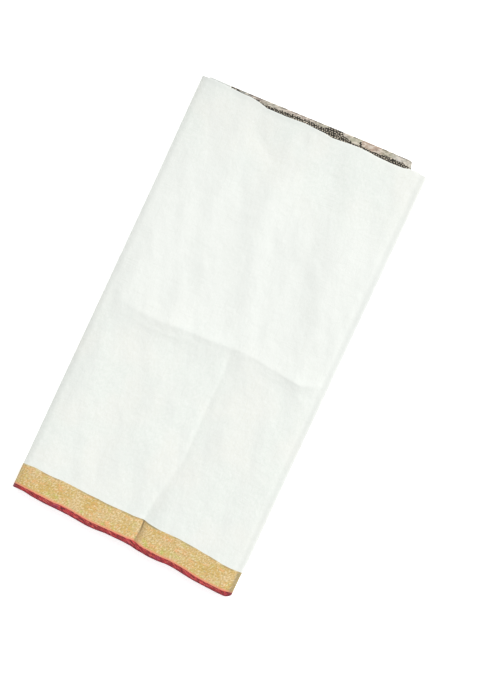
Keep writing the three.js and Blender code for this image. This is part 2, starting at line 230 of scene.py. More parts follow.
FINE_SWELLS = [
    Swell(4, -44, -0.6, 16, 20),
    Swell(-60, -44, -0.5, 34, 16),
    Swell(-26, -96, 0.6, 15, 26),
    Swell(-18, -162, 0.6, 14, 22),
    Swell(62, -124, 0.6, 16, 20),
    Swell(30, 24, 0.6, 24, 30),
]

Spot = namedtuple("Spot", "x y")
# The pressed line of the lengthwise crease near the hem, along which the silk and the tissue get painted
# shade
SHADED_CREASE_LINE = [
    Spot(28, -150), Spot(21, -200), Spot(15, -235), Spot(14, -252), Spot(15, -267), Spot(13, -284),
    Spot(14, -300),
]

Ends = namedtuple("Ends", "ply hem top relief")
# How far each hidden ply stands back from the hem and from the doubled edge, and how much
# of the top panel's relief it follows
PLY_ENDS = [
    Ends(1, 0.0, 0.0, 1.0),
    Ends(2, 0.8, 0.9, 0.75),
    Ends(3, 2.8, 2.1, 0.5),
    Ends(4, 2.2, 2.6, 0.3),
    Ends(5, 2.4, 3.2, 0.15),
    Ends(6, 0.7, 1.2, 0.0),
    Ends(7, 3.8, 3.4, 0.0),
    Ends(8, 3.2, 2.8, 0.0),
    Ends(9, 2.4, 3.1, 0.0),
    Ends(10, 1.4, 3.6, 0.0),
    Ends(11, 1.9, 3.0, 0.0),
    Ends(12, 2.8, 1.8, 0.0),
    Ends(13, 3.3, 1.6, 0.0),
    Ends(14, 2.9, 2.2, 0.0),
    Ends(15, 2.1, 2.8, 0.0),
    Ends(16, 1.7, 2.6, 0.0),
    Ends(17, 1.2, 1.5, 0.0),
    Ends(18, 0.0, 0.0, 0.0),
]

Room = namedtuple("Room", "plies left right back")
# Where plies stand further back from the doubled edge, for the folds that stand out there
FOLD_ROOMS = [
    Room((3, 4), -152.0, -108.0, 20.5),
    Room((3, 4), 123.0, 153.0, 20.5),
    Room((7, 8), -120.0, 146.0, 20.5),
]

Turn = namedtuple("Turn", "upper lower inset")
# Folds at the right side: how far the middle of each one lies from the right side
RIGHT_TURNS = [
    Turn(1, 6, 3.2),
    Turn(2, 5, 3.2),
    Turn(3, 4, 3.6),
    Turn(7, 8, 3.1),
    Turn(12, 13, 4.4),
    Turn(11, 14, 4.2),
    Turn(10, 15, 4.0),
    Turn(16, 17, 2.7),
]
# The order in which the cloth runs through the hidden plies, from the wrapped one's end to
# the end piece
HIDDEN_CHAIN = (6, 13, 12, 7, 8, 11, 14, 5, 2, 17, 16, 3, 4, 15, 10, 9)
WRAPPED_CHAIN = (6, 1, 18)

EdgeFold = namedtuple("EdgeFold", "node slot left right middle thick splay columns reach")
# Folds that stand out at the doubled edge. reach gives the y of the nose by x.
SECOND_FOLD = EdgeFold(
    "field_second_fold", "ivory_silk", -146.2, -116.3, 14.5, 2.0, 0.0, 24,
    [Spot(-146.2, 289.3), Spot(-143, 290.6), Spot(-128, 290.8), Spot(-116.3, 291.0)],
)
CORNER_FOLD = EdgeFold(
    "field_corner_fold", "ivory_silk", 127.2, 148.8, 14.5, 2.0, 0.0, 24,
    [Spot(127.2, 288.6), Spot(138, 290.2), Spot(145, 291.0), Spot(148.8, 289.6)],
)
CHECK_FOLD = EdgeFold(
    "pallu_check_fold", "pallu_check", -116.0, 64.0, 9.9, 1.3, 0.0, 176,
    [
        Spot(-116, 291.0), Spot(-80, 292.3), Spot(-40, 294.1), Spot(0, 295.8), Spot(40, 297.4),
        Spot(64, 298.4),
    ],
)
PLAIN_FOLD = EdgeFold(
    "pallu_plain_fold", "pallu_beige", 64.0, 132.2, 9.9, 1.3, 10.0, 70,
    [Spot(64, 298.4), Spot(96, 299.5), Spot(124, 300.2), Spot(130, 300.2), Spot(132.2, 299.4)],
)
FOLD_ROOT = 268.0
# Rows of such a fold from its root to its nose, as shares of the way
FOLD_DEPTHS = (0.0, 0.35, 0.62, 0.8, 0.92, 1.0)
FOLD_NOSE_STEPS = 8

Mark = namedtuple("Mark", "x start")
# Where the black check starts, measured in from the nose of the end piece
CHECK_START = [
    Mark(-116, 0.4), Mark(-106, 0.7), Mark(-102, 2.4), Mark(-84, 2.6), Mark(-80, 2.8),
    Mark(-71, 3.8), Mark(-68, 6.6), Mark(-65, 5.5), Mark(-60, 5.0), Mark(-50, 4.8),
    Mark(-40, 3.7), Mark(-30, 3.4), Mark(-20, 3.4), Mark(-10, 3.2), Mark(0, 3.7),
    Mark(12, 3.6), Mark(17, 2.2), Mark(20, -0.6), Mark(37, -0.6), Mark(39.5, 4.4),
    Mark(46, 5.6), Mark(51, 6.6), Mark(52.5, 8.2), Mark(61, 8.4), Mark(61.8, 2.2),
    Mark(64.2, 3.4), Mark(65.6, 7.6), Mark(84, 8.3), Mark(94, 8.0), Mark(99, 6.6),
    Mark(112, 6.2), Mark(120, 6.4), Mark(127, 7.4), Mark(135, 8.2),
]

Ground = namedtuple("Ground", "x colour")
# The end piece's own colours and where each starts along it
CHECKED_GROUNDS = [
    Ground(-120, (0.30, 0.31, 0.29)), Ground(-88, (0.40, 0.34, 0.31)), Ground(-70, (0.46, 0.44, 0.37)),
    Ground(-42, (0.56, 0.48, 0.42)), Ground(-2, (0.50, 0.48, 0.38)), Ground(33, (0.50, 0.45, 0.40)),
    Ground(46, (0.48, 0.46, 0.35)),
]
PLAIN_GROUNDS = [
    Ground(60, (0.50, 0.38, 0.30)), Ground(92, (0.43, 0.41, 0.31)), Ground(110, (0.68, 0.65, 0.60)),
    Ground(119, (0.56, 0.54, 0.46)),
]

Check = namedtuple("Check", "pitch_along pitch_across lean waver gap_start gap_full")
# The black check: its pitches in metres, how far it leans, how unevenly it is woven, and
# where in its waves the gaps between its threads start and are clear
BLACK_CHECK = Check(0.0033, 0.0028, 0.5, 22.0, 0.25, 1.6)

Fleck = namedtuple("Fleck", "lean along across detail roughness start full share colour")
# Flecks of another colour in a cloth: how far they lean, how many there are to a metre along
# and across it, how ragged they are, where in their noise they start and are full, and how
# strong they are
WARM_CAST = Fleck(0, 14, 14, 2, 0.5, 0.40, 0.62, 1.0, (0.845, 0.86, 0.806))
IVORY_FLECKS = [
    Fleck(0, 300, 240, 3, 0.6, 0.35, 0.75, 0.8, (0.877, 0.895, 0.858)),
    Fleck(-0.35, 34, 9, 4, 0.6, 0.42, 0.66, 0.5, (0.78, 0.805, 0.77)),
]
GOLD_FLECKS = [
    Fleck(0, 34, 34, 3, 0.5, 0.35, 0.65, 1.0, (0.75, 0.545, 0.27)),
    Fleck(0.6, 62, 110, 3, 0.55, 0.50, 0.70, 0.9, (0.86, 0.46, 0.19)),
]
GREEN_FLECK = Fleck(0, 88, 99, 3, 0.55, 0.50, 0.68, 1.0, (0.56, 0.57, 0.15))
GOLD_GRAIN = [
    Fleck(0.5, 430, 330, 2, 0.5, 0.48, 0.62, 0.56, (0.90, 0.79, 0.52)),
    Fleck(0.5, 572, 455, 2, 0.6, 0.48, 0.64, 0.66, (0.42, 0.29, 0.10)),
]
RED_FLECKS = [
    Fleck(-1.8, 340, 420, 3, 0.6, 0.58, 0.40, 1.0, (0.11, 0.012, 0.013)),
    Fleck(0, 42, 42, 2, 0.5, 0.42, 0.62, 0.45, (0.20, 0.020, 0.022)),
    Fleck(-1.8, 195, 546, 2, 0.5, 0.52, 0.66, 0.7, (0.78, 0.15, 0.12)),
    Fleck(0, 70, 70, 2, 0.5, 0.55, 0.70, 0.45, (0.33, 0.035, 0.10)),
]
END_PIECE_FLECKS = [
    Fleck(0.5, 210, 150, 3, 0.65, 0.44, 0.68, 0.6, (0.26, 0.21, 0.17)),
    Fleck(-0.8, 168, 294, 3, 0.5, 0.46, 0.62, 0.7, (0.80, 0.72, 0.62)),
]

Grain = namedtuple("Grain", "along across detail roughness start full share")
# Thick weft and warp threads of the weave, with the same columns
THICK_THREADS = [Grain(620, 26, 2, 0.5, 0.52, 0.74, 1.0), Grain(30, 540, 2, 0.5, 0.56, 0.78, 1.0)]
THREAD_PITCH = 0.0009

Noise = namedtuple("Noise", "along across detail roughness")
# Noises that crumple the weave, and that make lines, grounds and the check uneven
BROAD_CRUMPLE = Noise(62, 62, 3, 0.55)
CLOSE_CRUMPLE = Noise(210, 170, 3, 0.6)
CLOSE_CRUMPLE_SHARE = 0.34
LINE_NOISE = Noise(60, 40, 3, 0.5)
GROUND_NOISE = Noise(110, 40, 3, 0.5)
DASH_NOISE = Noise(130, 60, 2, 0.5)
CHECK_NOISE = Noise(130, 130, 4, 0.7)
CHECK_EDGE_NOISE = Noise(210, 210, 2, 0.5)

Fade = namedtuple("Fade", "start full share", defaults=[1.0])
# Where painted light, painted shade and other marks of the cloth start and are full, and how
# strong they are, in metres along its path
LEFT_PART = Fade(0.08, 0.20)
RIGHT_FOLD_SHADE = Fade(0.0268, 0.0205, 0.15)
PRESSED_START = Fade(0.128, 0.140)
PRESSED_END = Fade(0.161, 0.158)
# in metres from its selvedge
FAR_HALF = Fade(0.22, 0.33)
FAR_HALF_END = Fade(0.54, 0.44)
BY_DOUBLED_EDGE = Fade(0.50, 0.585, 0.09)
AT_DOUBLED_EDGE = Fade(0.571, 0.580, 0.14)
BY_HEM = Fade(0.115, 0.04)
GREEN_BY_RED = Fade(0.018, 0.010)
SHADE_LINE_BY_IVORY = Fade(0.014, 0.032)
RED_UNDERSIDE = Fade(0.0026, 0.0006, 0.62)
# in metres past the shaded crease line, for the painted shade along it
CREASE_SHADE_START = Fade(-0.003, 0.002)
CREASE_SHADE_END = Fade(0.026, 0.004, 0.115)
CREASE_SPREAD_SHADE_START = Fade(-0.0004, 0.0006)
CREASE_SPREAD_SHADE_END = Fade(0.0105, 0.001, 0.55)
CREASE_LINE_SHADE_START = Fade(-0.0011, 0.0)
CREASE_LINE_SHADE_END = Fade(0.0022, 0.0006)
# in metres from the border's lower and upper edges, and from the end piece's nose
RED_TO_RIM = Fade(-0.0003, 0.0003)
RIM_TO_GOLD = Fade(0.0009, 0.0030)
DARK_RISE = Fade(-0.0026, -0.0008)
GOLD_TO_IVORY = Fade(-0.0004, 0.0004)
NOSE_RIM = Fade(-0.0019, -0.0006, 0.75)
CHECK_EDGE = Fade(-0.0002, 0.0004)
# in metres from where a ground starts
GROUND_FADE = Fade(0.0, 0.010)
# in a noise
UNEVEN_LINE = Fade(0.36, 0.62, 0.6)
NOSE_DASHES = Fade(0.46, 0.58)

# Painted shade where the cloth turns over, along its crease, by its edges and where it lies under
# another ply; painted light on its far half; and other colours laid over the cloth
FAR_HALF_PAINTED_LIGHT = (0.854, 0.882, 0.84, 1)
DOUBLED_EDGE_PAINTED_SHADE = (0.45, 0.47, 0.46, 1)
RIGHT_FOLD_PAINTED_SHADE = (0.44, 0.46, 0.45, 1)
CREASE_PAINTED_SHADE = (0.40, 0.42, 0.40, 1)
SLUB_GREY = (0.70, 0.72, 0.66, 1)
INNER_FOLD_PAINTED_SHADE = (0.42, 0.42, 0.42, 1)
RED_HEM_PAINTED_SHADE = (0.14, 0.012, 0.03, 1)
RED_TURNED_PAINTED_SHADE = (0.12, 0.02, 0.03, 1)
GOLD_CREASE_PAINTED_SHADE = (0.40, 0.27, 0.12, 1)
GOLD_CREASE_LINE_SHADE = (0.20, 0.14, 0.06, 1)
GOLD_TURNED_PAINTED_SHADE = (0.26, 0.22, 0.13, 1)
ORANGE_RIM = (0.84, 0.33, 0.19, 1)
BORDER_LINE = (0.34, 0.28, 0.15, 1)
NOSE_DARK = (0.10, 0.08, 0.06, 1)
CHECK_GROUND = (0.66, 0.58, 0.47, 1)
SLUB_SHARE = 0.1
TURNED_SHADE_SHARE = 0.6
INNER_FOLD_SHADE_SHARE = 0.42
GREEN_ELSEWHERE = 0.35
# How strong the painted shade line of the crease across the border is by the red edge and by the ivory
SHADE_LINE_BY_RED, SHADE_LINE_AT_IVORY = 0.35, 0.85
# How far a ground's start and the check's edge waver, in metres
GROUND_SHIFT = 0.012
CHECK_UNEVEN = 0.004

Turned = namedtuple("Turned", "place fade share")
# The painted shade of the stretches that turn over: where it starts to change, from the end of
# the right fold or the start of the left one, over what length it does, and how strong it is
TURNED_RIGHT = Turned(-1.5, 4.5, 1.0)
TURNED_LEFT = Turned(2.0, 6.0, 0.9)

Finish = namedtuple("Finish", "roughness sheen specular threads slubs crumples")
# How each silk takes the light, and the heights of its weave in metres
IVORY_FINISH = Finish(0.6, 0.15, 0.35, 0.00003, 0.00006, 0.0006)
PLIES_FINISH = IVORY_FINISH._replace(sheen=0.1)
INNER_FOLD_FINISH = IVORY_FINISH._replace(sheen=0.05)
GOLD_FINISH = Finish(0.5, 0.0, 0.25, 0.00005, 0.00008, 0.0006)
RED_FINISH = Finish(0.62, 0.1, 0.35, 0.00005, 0.0001, 0.0006)
END_PIECE_FINISH = Finish(0.7, 0.05, 0.25, 0.00005, 0.0001, 0.0005)
GOLD_METAL = 0.1

Wrinkle = namedtuple("Wrinkle", "wide long seed rise")
# Small uneven crumples of the top panel, and how much of them is left at its folds
WRINKLES = [Wrinkle(17.0, 24.0, 3.7, 1.3), Wrinkle(8.0, 10.5, 9.1, 0.6), Wrinkle(4.2, 4.6, 21.3, 0.24)]
WRINKLES_AT_FOLDS = 0.35
EDGE_FOLD_WRINKLE = Wrinkle(14.0, 9.0, 0.0, 1.0)
# How far the inner leaf keeps below the main creases
INNER_LEAF_DROP = 0.1
# How far the hidden plies stand in from the hem and the doubled edge, and how wide they are
# between them, as a mean
HIDDEN_INSET = 2.0

# Steps of the surfaces: the top panel's are finer along its two creases
COARSE_STEP = 3.1
FINE_STEP = 1.35
FINE_FADE = 24.0
FINE_COLUMNS = (8.0, 40.0)
FINE_LINES = (-32.0, -4.0)
BOTTOM_COLUMNS = 12
TONGUE_COLUMNS = 3
HIDDEN_COLUMNS = 40
# Folds of a larger radius than BIG_TURN have more steps.
BIG_TURN = 2.0
BIG_TURN_STEPS = 14
SMALL_TURN_STEPS = 8
INNER_ROW_STEP = 3
BORDER_ROWS = 14
SELVEDGE_ROWS = 5
HIDDEN_HEM_SHARES = (0.0, 0.012, 0.06)
HIDDEN_ROWS = 10
NOSE_ROWS = 6

# The studio, in metres. The camera's lens and sensor are in millimetres.
FLOOR_SIZE = 60.0
FLOOR_DROP = 0.0001
FLOOR_COLOUR = (0.93, 0.93, 0.93, 1)
FLOOR_ROUGHNESS = 0.9
FLOOR_GLOW = 0.6
LAMP_DISTANCE = 2.0
CAMERA_PLACE = (0.0273, 0.0022)
CAMERA_REACH = 100.0
SENSOR_WIDTH = 36.0


class SariClothSettings(bpy.types.PropertyGroup):
    """Sizes of the silk that are the same in every ply"""

    leaf: bpy.props.FloatProperty(
        name="Leaf", description="Thickness of one leaf of silk", default=0.00035, unit="LENGTH"
    )
    spread: bpy.props.FloatProperty(
        name="Spread", description="From the middle of a double ply to the middle of each leaf",
        default=0.00025, unit="LENGTH",
    )
    crumple: bpy.props.FloatProperty(
        name="Crumple", description="Height of the small uneven crumples of the top panel",
        default=0.00022, unit="LENGTH",
    )


def colour_property(name, description, default):
    return bpy.props.FloatVectorProperty(
        name=name, description=description, default=default, size=3, min=0.0, max=1.0, subtype="COLOR"
    )


class SariColourSettings(bpy.types.PropertyGroup):
    """Main colour of each stretch of the silk; its flecks, painted light and painted shade are laid over
    it
    """

    ivory: colour_property("Ivory", "The field, in its cooler places", (0.815, 0.855, 0.806))
    gold: colour_property("Gold", "The tissue of the border", (0.66, 0.445, 0.135))
    red: colour_property("Red", "The bright threads of the red edge", (0.55, 0.042, 0.050))
    check: colour_property("Check", "The black threads of the end piece", (0.030, 0.027, 0.021))


class SariStageSettings(bpy.types.PropertyGroup):
    """Camera and light of the studio"""

    camera_height: bpy.props.FloatProperty(
        name="Camera height", description="Height of the camera over the top panel",
        default=6.0, unit="LENGTH",
    )
    turn: bpy.props.FloatProperty(
        name="Turn", description="How far the camera is turned round the packet",
        default=math.radians(24.8), subtype="ANGLE",
    )
    lens: bpy.props.FloatProperty(
        name="Lens", description="Focal length in millimetres", default=250.7
    )
    light: bpy.props.FloatProperty(name="Light", description="Strength of the soft light", default=2.15)
    light_spread: bpy.props.FloatProperty(
        name="Light spread", description="How wide the soft light is, which softens its shadows",
        default=math.radians(24), subtype="ANGLE",
    )
    surround: bpy.props.FloatProperty(
        name="Surround", description="Strength of the light from all round", default=0.60
    )
    light_bearing: bpy.props.FloatProperty(
        name="Light bearing", description="Where the light stands round the packet, from +X",
        default=math.radians(60), subtype="ANGLE",
    )
    light_height: bpy.props.FloatProperty(
        name="Light height", description="How far the light stands above the floor",
        default=math.radians(43), subtype="ANGLE",
    )


def lerp(a, b, share):
    return a + (b - a) * share


def smooth(value, low, high):
    share = min(max((value - low) / (high - low), 0.0), 1.0)
    return share * share * (3 - 2 * share)


def look_up(rows, column, at):
    """A column of a table at a place between its rows, which its first column gives."""
    before = rows[0]
    if at <= before[0]:
        return getattr(before, column)
    for after in rows[1:]:
        if at <= after[0]:
            share = (at - before[0]) / (after[0] - before[0])
            return lerp(getattr(before, column), getattr(after, column), share)
        before = after
    return getattr(before, column)


def hem_line(x):
    return look_up(OUTLINE, "hem", x)


def red_line(x):
    return look_up(OUTLINE, "red", x)


def band_line(x):
    return look_up(OUTLINE, "band", x)


def top_line(x):
    return look_up(OUTLINE, "top", x)


def left_side(y):
    return -HALF_WIDTH - look_up(SIDES, "left", y)


def right_side(y):
    return HALF_WIDTH + look_up(SIDES, "right", y)


# A stretch of a line near a place: its ends, the share of the way along it, and where the
# place lies from it
Near = namedtuple("Near", "before after along distance on_left")


def nearest_stretch(line, x, y):
    """The stretch of a line that lies nearest to a place."""
    best = None
    for before, after in zip(line, line[1:]):
        run_x, run_y = after.x - before.x, after.y - before.y
        off_x, off_y = x - before.x, y - before.y
        along = min(max((off_x * run_x + off_y * run_y) / (run_x**2 + run_y**2), 0.0), 1.0)
        distance = math.hypot(off_x - along * run_x, off_y - along * run_y)
        if best is None or distance < best.distance:
            best = Near(before, after, along, distance, run_x * off_y >= run_y * off_x)
    return best


def crease_height(crease, x, y):
    """Height that a crease gives a place: that of its nearest stretch."""
    near = nearest_stretch(crease, x, y)
    low = near.before.reach if near.on_left else near.before.other or near.before.reach
    high = near.after.reach if near.on_left else near.after.other or near.after.reach
    reach = lerp(low, high, near.along)
    blunt = BLUNTNESS * reach
    fall = (math.hypot(near.distance, blunt) - blunt) / reach
    return lerp(near.before.height, near.after.height, near.along) * math.exp(-fall)


def bell(offset, reach):
    return math.exp(-((offset / reach) ** 2))


def creased(creases, swells, x, y):
    """Height that a set of creases and swells gives a place on the top panel."""
    height = sum(crease_height(crease, x, y) for crease in creases)
    for swell in swells:
        height += swell.rise * bell(x - swell.x, swell.wide) * bell(y - swell.y, swell.long)
    return height


def paced(low, high, fine):
    """Shares of the way from low to high, with finer steps between the two ends of fine."""
    places = [low]
    while places[-1] < high:
        near = max(fine[0] - places[-1], places[-1] - fine[1], 0.0)
        places.append(places[-1] + lerp(FINE_STEP, COARSE_STEP, smooth(near, 0.0, FINE_FADE)))
    scale = (high - low) / (places[-1] - low)
    return [(place - low) * scale / (high - low) for place in places]


def even(count):
    return [i / count for i in range(count + 1)]


def fade_at_folds(x, left, right):
    to_left = x - left - BIG_NOSE
    to_right = right - UPPER_NOSE - x
    return smooth(min(to_left, to_right), 0.0, RELIEF_FADE)


def main_relief(x, y, left, right):
    return fade_at_folds(x, left, right) * (PANEL_LIFT + creased(CREASES, SWELLS, x, y))


def sink_at(shoulder, inward):
    return shoulder.drop * min(max(1 - inward / shoulder.width, 0.0), 1.0) ** 2


def settled(x, y, z):
    """A point of the packet, in metres, let down where it sinks towards its two folds."""
    sink = sink_at(LEFT_SHOULDER, x - left_side(y)) + sink_at(RIGHT_SHOULDER, right_side(y) - x)
    return Vector((x, y, z * (1 - sink / PACKET_HEIGHT))) * MM


def wrinkled(wrinkle, x, y):
    place = Vector((x / wrinkle.wide, y / wrinkle.long, wrinkle.seed))
    return wrinkle.rise * noise.noise(place)


def crumple(x, y):
    """Small uneven crumples, about -1 to 1."""
    return sum(wrinkled(wrinkle, x, y) for wrinkle in WRINKLES)


def fine_relief(x, y, left, right, height):
    fade = fade_at_folds(x, left, right)
    crumpled = lerp(WRINKLES_AT_FOLDS, 1.0, fade) * height * crumple(x, y)
    return fade * creased(FINE_CREASES, FINE_SWELLS, x, y) + crumpled


def ply_height(ply):
    if ply <= UPPER_PLIES:
        return lerp(UPPER_TOP, UPPER_FOOT, (ply - 1) / (UPPER_PLIES - 1))
    return lerp(LOWER_TOP, LOWER_FOOT, (ply - UPPER_PLIES - 1) / (PLIES - UPPER_PLIES - 1))


def ply_ends(ply):
    return PLY_ENDS[ply - 1]


def turn_inset(ply, other):
    pair = (min(ply, other), max(ply, other))
    return next(turn.inset for turn in RIGHT_TURNS if (turn.upper, turn.lower) == pair)


# A place on the middle line of the cloth: where it is, which way its left side faces, and
# the ply (or the share of the way from one ply to the next)
Stop = namedtuple("Stop", "x z nx nz ply onward share")


def ply_path(chain, heading, start, end, left, right, columns):
    """Middle line of the cloth through a chain of plies, with a fold between each two."""
    stops = []
    x = start
    for index, ply in enumerate(chain):
        z = ply_height(ply)
        onward = chain[min(index + 1, len(chain) - 1)]
        if index == len(chain) - 1:
            stop_x = end
        elif heading > 0:
            stop_x = right - turn_inset(ply, onward)
        else:
            stop_x = left + BIG_NOSE
        for share in columns[index][0 if index == 0 else 1 :]:
            stops.append(Stop(lerp(x, stop_x, share), z, 0.0, heading, ply, ply, 0.0))
        if index == len(chain) - 1:
            break
        across = ply_height(onward)
        radius = (z - across) / 2
        middle = (z + across) / 2
        steps = BIG_TURN_STEPS if abs(radius) > BIG_TURN else SMALL_TURN_STEPS
        sign = 1 if radius > 0 else -1
        for i in range(1, steps + 1):
            angle = math.pi * i / steps
            stops.append(
                Stop(
                    stop_x + heading * abs(radius) * math.sin(angle),
                    middle + radius * math.cos(angle),
                    sign * math.sin(angle),
                    heading * math.cos(angle),
                    ply, onward, i / steps,
                )
            )
        x = stop_x
        heading = -heading
    return stops


def wrapped_path(y):
    left, right = left_side(y), right_side(y)
    start = right - UPPER_NOSE - TONGUE
    end = right - BOTTOM_EDGE_INSET
    top = paced(-HALF_WIDTH + BIG_NOSE, HALF_WIDTH - UPPER_NOSE, FINE_COLUMNS)
    columns = (even(TONGUE_COLUMNS), [1 - share for share in reversed(top)], even(BOTTOM_COLUMNS))
    return ply_path(WRAPPED_CHAIN, 1, start, end, left, right, columns)


def hidden_path(y):
    left, right = left_side(y), right_side(y)
    start = right - UPPER_NOSE - TONGUE
    end = right - PALLU_END_INSET
    columns = (even(HIDDEN_COLUMNS),) * len(HIDDEN_CHAIN)
    return ply_path(HIDDEN_CHAIN, -1, start, end, left, right, columns)


# A row of the cloth along its path: y for an x (and a stop), how far the leaf lies to the
# side of the middle line, and the cloth's own measure from the selvedge
Row = namedtuple("Row", "line offset weave")


def between(low, high, share, shift=0.0):
    return lambda x, stop: lerp(low(x), high(x), share) + shift


def folded_end(line, spread, weave):
    """Rows round the nose of a doubled edge."""
    rows = []
    for i in range(1, NOSE_ROWS):
        angle = math.pi * i / NOSE_ROWS
        out = spread * math.sin(angle)
        rows.append(
            Row(
                lambda x, stop, out=out: line(x, stop) - spread + out,
                -spread * math.cos(angle),
                weave + spread * (angle - math.pi / 2) * (1 if angle < math.pi / 2 else -1),
            )
        )
    return rows


def cloth_grid(rows, path_of, lowered, crumpled):
    """Points and cloth measures of a set of rows.

    lowered is how far the inner leaf keeps below the main creases, so that it never shows
    through the outer one; crumpled is the height of the small crumples. All that lies under
    the outermost leaf follows its dents only.
    """
    grid = []
    for row in rows:
        middle_y = row.line(0.0, None)
        left, right = left_side(middle_y), right_side(middle_y)
        stops = path_of(middle_y)
        cells = []
        travelled = 0.0
        last = None
        for stop in stops:
            if last is not None:
                travelled += math.hypot(stop.x - last.x, stop.z - last.z)
            last = stop
            x = stop.x + stop.nx * row.offset
            z = stop.z + stop.nz * row.offset
            y = row.line(x, stop)
            follow = lerp(ply_ends(stop.ply).relief, ply_ends(stop.onward).relief, stop.share)
            if follow > 0:
                fine = fine_relief(x, y, left, right, crumpled)
                outermost = follow == 1 and row.offset < 0
                z += follow * main_relief(x, y, left, right)
                z += fine if outermost else follow * min(0.0, fine) - lowered
            cells.append((settled(x, y, z), (travelled * MM, row.weave * MM)))
        grid.append(cells)
    return grid


def object_from_grids(name, grids):
    """A mesh object of one or more grids, with the cloth's own measures as its UV map."""
    points, faces, measures = [], [], []
    for grid in grids:
        first = len(points)
        width = len(grid[0])
        for cells in grid:
            for point, measure in cells:
                points.append(point)
                measures.append(measure)
        for j in range(len(grid) - 1):
            for i in range(width - 1):
                here = first + j * width + i
                faces.append((here, here + width, here + width + 1, here + 1))
    mesh = bpy.data.meshes.new(name)
    mesh.from_pydata(points, [], faces)
    layer = mesh.uv_layers.new(name="cloth")
    for loop in mesh.loops:
        layer.data[loop.index].uv = measures[loop.vertex_index]
    made = bpy.data.objects.new(name, mesh)
    bpy.context.scene.collection.objects.link(made)
    return made


def finish_cloth(made, material, leaf):
    """Gives a leaf of cloth its thickness, smooth faces and silk."""
    mesh = made.data
    uses = [0] * len(mesh.edges)
    for loop in mesh.loops:
        uses[loop.edge_index] += 1
    for edge in mesh.edges:
        edge.use_edge_sharp = uses[edge.index] == 1
    for polygon in mesh.polygons:
        polygon.use_smooth = True
    mesh.materials.append(material)
    thickness = made.modifiers.new("Leaf thickness", "SOLIDIFY")
    thickness.thickness = leaf
    thickness.offset = 0.0
    thickness.use_even_offset = False
    return made


def put(tree, kind, inputs=None, **settings):
    """Adds a node. inputs name its sockets, each with a value or the output to join to it."""
    made = tree.nodes.new(kind)
    for key, value in settings.items():
        setattr(made, key, value)
    for key, value in (inputs or {}).items():
        if isinstance(value, bpy.types.NodeSocket):
            tree.links.new(value, made.inputs[key])
        else:
            made.inputs[key].default_value = value
    return made


def calc(tree, operation, first, second=0.0):
    return put(tree, "ShaderNodeMath", {0: first, 1: second}, operation=operation).outputs[0]


def lerp_value(tree, share, low, high):
    inputs = {0: share, 2: low, 3: high}
    return put(tree, "ShaderNodeMix", inputs, data_type="FLOAT").outputs[0]


def ramp(tree, value, low, high):
    """0 below low, 1 above high, and a smooth rise between."""
    inputs = {"Value": value, "From Min": low, "From Max": high}
    return put(tree, "ShaderNodeMapRange", inputs, interpolation_type="SMOOTHSTEP").outputs[0]


def blend(tree, share, first, second):
    inputs = {0: share, 6: first, 7: second}
    return put(tree, "ShaderNodeMix", inputs, data_type="RGBA").outputs[2]


def both(tree, first, second):
    """Mask of where two masks meet."""
    return calc(tree, "MULTIPLY", first, second)


def faded(tree, value, fade, edge=0.0):
    """Mask that a fade gives a value, its ends measured from edge."""
    return both(tree, ramp(tree, value, edge + fade.start, edge + fade.full), fade.share)


def speckle(tree, vector, waves):
    """A noise with so many waves to a metre along and across the cloth."""
    inputs = {0: vector, 1: (waves.along, waves.across, 1.0)}
    places = put(tree, "ShaderNodeVectorMath", inputs, operation="MULTIPLY").outputs[0]
    inputs = {"Vector": places, "Scale": 1.0, "Detail": waves.detail, "Roughness": waves.roughness}
    return put(tree, "ShaderNodeTexNoise", inputs).outputs[0]


# The cloth's own measures as a shader reads them: both, along its path, and from the selvedge
Cloth = namedtuple("Cloth", "places along across")


def measured(tree, places):
    parts = put(tree, "ShaderNodeSeparateXYZ", {0: places})
    return Cloth(places, parts.outputs[0], parts.outputs[1])


def aslant(tree, cloth, lean):
    """The cloth's measures, sheared so that a noise lies aslant."""
    along = calc(tree, "ADD", cloth.along, calc(tree, "MULTIPLY", cloth.across, lean))
    return put(tree, "ShaderNodeCombineXYZ", {0: along, 1: cloth.across}).outputs[0]


def flecked(tree, cloth, colour, fleck, within=1.0):
    """A colour with flecks of another; within is a mask of where they may lie."""
    flecks = speckle(tree, aslant(tree, cloth, fleck.lean), fleck)
    mask = both(tree, faded(tree, flecks, fleck), within)
    return blend(tree, mask, colour, (*fleck.colour, 1))


def new_group(name, outputs):
    group = bpy.data.node_groups.new(name, "ShaderNodeTree")
    group.interface.new_socket("Cloth", in_out="INPUT", socket_type="NodeSocketVector")
    for output in outputs:
        group.interface.new_socket(output, in_out="OUTPUT", socket_type="NodeSocketFloat")
    cloth = group.nodes.new("NodeGroupInput").outputs["Cloth"]
    return group, measured(group, cloth), group.nodes.new("NodeGroupOutput")


def weave_group():
    """Plain weave with slubs: the height of the threads, a mask of the thick places, and the
    height of the crumples."""
    name = "Tussar weave"
    if name in bpy.data.node_groups:
        return bpy.data.node_groups[name]
    group, cloth, out = new_group(name, ("Threads", "Slubs", "Crumple"))
    turns = 2 * math.pi / THREAD_PITCH
    warp = calc(group, "SINE", calc(group, "MULTIPLY", cloth.along, turns))
    weft = calc(group, "SINE", calc(group, "MULTIPLY", cloth.across, turns))
    group.links.new(both(group, warp, weft), out.inputs["Threads"])
    slubs = [faded(group, speckle(group, cloth.places, grain), grain) for grain in THICK_THREADS]
    group.links.new(calc(group, "ADD", *slubs), out.inputs["Slubs"])
    broad = speckle(group, cloth.places, BROAD_CRUMPLE)
    close = calc(group, "MULTIPLY", speckle(group, cloth.places, CLOSE_CRUMPLE), CLOSE_CRUMPLE_SHARE)
    group.links.new(calc(group, "ADD", broad, close), out.inputs["Crumple"])
    return group


